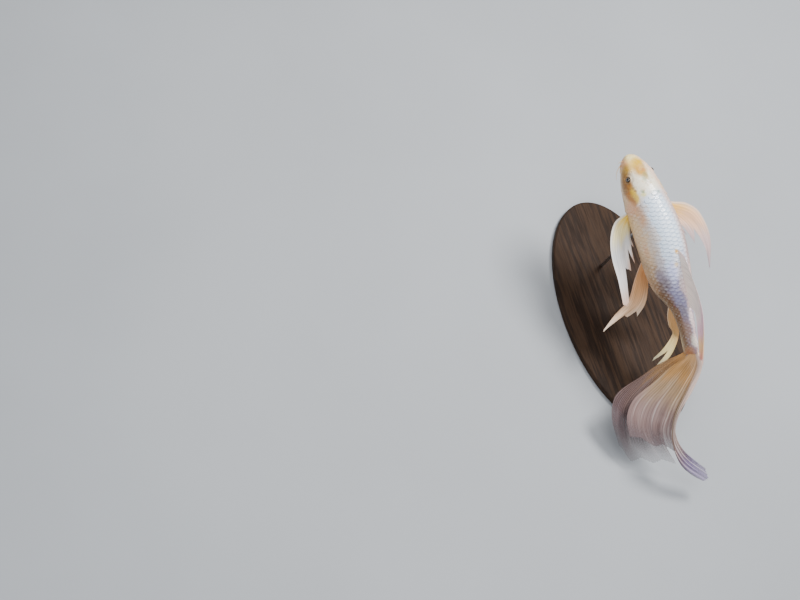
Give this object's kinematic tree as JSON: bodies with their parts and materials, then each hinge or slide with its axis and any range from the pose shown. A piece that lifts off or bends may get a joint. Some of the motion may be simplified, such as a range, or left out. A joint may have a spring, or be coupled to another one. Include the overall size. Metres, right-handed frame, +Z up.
{
  "type": "koi carp",
  "caption": "Long-finned koi carp in a swimming pose, nose up and tail swept round, on a plain display stand",
  "frame": {"origin": "the middle of the underside of the stand's base, on the surface it stands on", "axes": "+X towards the fish's left, +Y towards its tail, +Z up"},
  "size_m": [0.2341, 0.563, 0.2834],
  "materials": {
    "skin": "wet, pearly white scales, cream and yellow on the head",
    "fin": "thin translucent membrane with fine rays",
    "eye": "wet, dark pupil in a narrow gold ring",
    "barbel": "soft, cream",
    "base": "dark stained, satin",
    "rod": "brushed"
  },
  "bodies": {
    "root": {"head": "skin", "gill_cover_left": "skin", "gill_cover_right": "skin", "lower_jaw": "skin", "trunk": "skin", "tail_stalk": "skin", "eye_left": "eye", "eye_right": "eye", "barbel_long_left": "barbel", "barbel_long_right": "barbel", "barbel_short_left": "barbel", "barbel_short_right": "barbel", "pectoral_fin_left": "fin", "pectoral_fin_right": "fin", "pelvic_fin_left": "fin", "pelvic_fin_right": "fin", "anal_fin": "fin", "dorsal_fin": "fin", "tail_fin_upper": "fin", "tail_fin_lower": "fin", "stand_base": "base", "stand_rod_front": "rod", "stand_rod_rear": "rod"}
  },
  "joints": []
}
